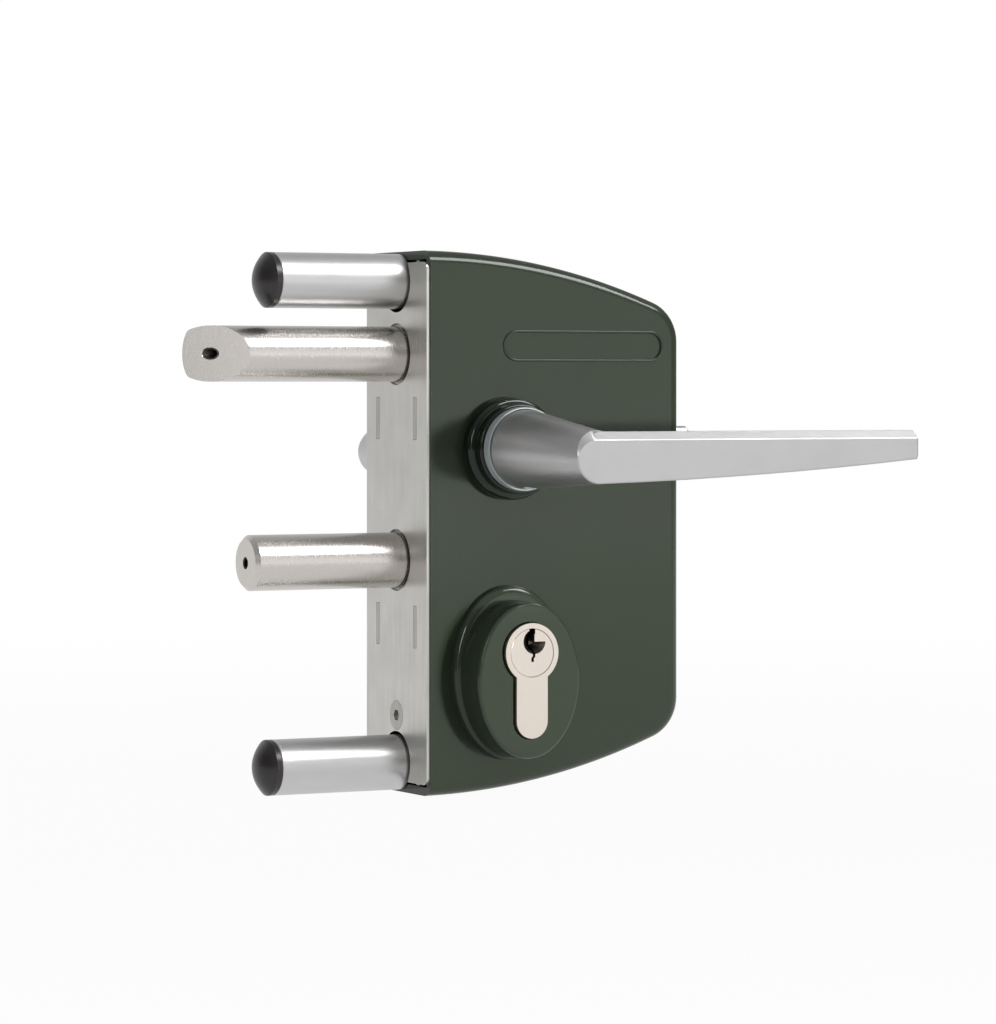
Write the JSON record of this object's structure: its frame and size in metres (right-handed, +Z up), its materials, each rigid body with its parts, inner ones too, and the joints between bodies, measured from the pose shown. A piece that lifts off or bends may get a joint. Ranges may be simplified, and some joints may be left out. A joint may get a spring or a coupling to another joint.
{
  "type": "surface mounted gate lock",
  "caption": "Surface-mounted gate lock with a curved case, lever handles on both faces, a profile cylinder, a bevelled latch bolt and a dead bolt",
  "frame": {"origin": "middle of the mounting face, half way between the two fixings", "axes": "+X from the gate tube into the case, +Y to the back of the gate, +Z up"},
  "size_m": [0.1995, 0.14, 0.1566],
  "materials": {
    "case_paint": "semi-gloss moss green powder coat",
    "dark_paint": "glossy dark green coat",
    "bolt_steel": "turned stainless steel",
    "plate_steel": "bare stainless sheet",
    "works_steel": "plain zinc plated steel",
    "lever_aluminium": "satin anodised",
    "sleeve_aluminium": "plain turned",
    "nickel": "satin nickel plate",
    "pin_brass": "plain turned",
    "black_plastic": "satin black",
    "guide_plastic": "natural acetal"
  },
  "bodies": {
    "case": {"mounting_plate": "plate_steel", "front_frame_plate": "works_steel", "rear_frame_plate": "works_steel", "frame_spacers": "works_steel", "front_cover": "case_paint", "rear_cover": "case_paint", "case_screws": "bolt_steel", "latch_guide_block": "guide_plastic", "dead_bolt_guide_block": "guide_plastic", "latch_spring": "works_steel", "latch_spring_seat": "works_steel", "front_collar": "dark_paint", "rear_collar": "dark_paint", "cylinder_body": "nickel", "cylinder_screw": "bolt_steel", "front_rose": "dark_paint", "rear_rose": "dark_paint", "front_rose_screws": "works_steel", "rear_rose_screws": "works_steel", "front_driver_pins": "pin_brass", "rear_driver_pins": "pin_brass", "front_pin_springs": "works_steel", "rear_pin_springs": "works_steel", "front_chamber_plugs": "pin_brass", "rear_chamber_plugs": "pin_brass", "upper_fixing_boss": "works_steel", "lower_fixing_boss": "works_steel", "upper_fixing_sleeve": "sleeve_aluminium", "lower_fixing_sleeve": "sleeve_aluminium", "upper_fixing_screw": "bolt_steel", "lower_fixing_screw": "bolt_steel", "upper_cap": "black_plastic", "lower_cap": "black_plastic"},
    "handle": {"follower": "works_steel", "spindle": "works_steel", "front_lever": "lever_aluminium", "rear_lever": "lever_aluminium", "front_grub_screw": "works_steel", "rear_grub_screw": "works_steel"},
    "latch": {"latch_bolt": "bolt_steel", "latch_adjuster": "works_steel", "latch_carriage": "works_steel", "latch_guide_pin": "works_steel"},
    "dead_bolt": {"dead_bolt": "bolt_steel", "dead_bolt_adjuster": "works_steel", "dead_bolt_carriage": "works_steel", "dead_bolt_guide_pin": "works_steel"},
    "front_plug": {"front_plug": "nickel", "front_key_pins": "pin_brass", "front_circlip": "works_steel", "cam": "works_steel"},
    "rear_plug": {"rear_plug": "nickel", "rear_key_pins": "pin_brass", "rear_circlip": "works_steel"}
  },
  "joints": [
    {"name": "handle_turn", "type": "hinge", "parent": "case", "child": "handle", "pos_m": [0.026, 0, 0.0213], "axis": [0, 1, 0], "range_deg": [0, 46], "stiffness_Nm_per_rad": 1.5, "springref_deg": -22.92},
    {"name": "latch_slide", "type": "slide", "parent": "case", "child": "latch", "axis": [1, 0, 0], "range_m": [0, 0.0214], "deforming": ["latch_spring"]},
    {"name": "front_plug_turn", "type": "hinge", "parent": "case", "child": "front_plug", "pos_m": [0.026, 0, -0.0369], "axis": [0, -1, 0], "range_deg": [0, 100]},
    {"name": "dead_bolt_slide", "type": "slide", "parent": "case", "child": "dead_bolt", "axis": [-1, 0, 0], "range_m": [0, 0.02]},
    {"name": "rear_plug_turn", "type": "hinge", "parent": "case", "child": "rear_plug", "pos_m": [0.026, 0, -0.0369], "axis": [0, -1, 0], "range_deg": [0, 100]}
  ],
  "couplings": [
    {"joint": "latch_slide", "follows": "handle_turn", "m_per_rad": 0.026573},
    {"joint": "front_plug_turn", "follows": "dead_bolt_slide", "rad_per_m": 87.266}
  ]
}
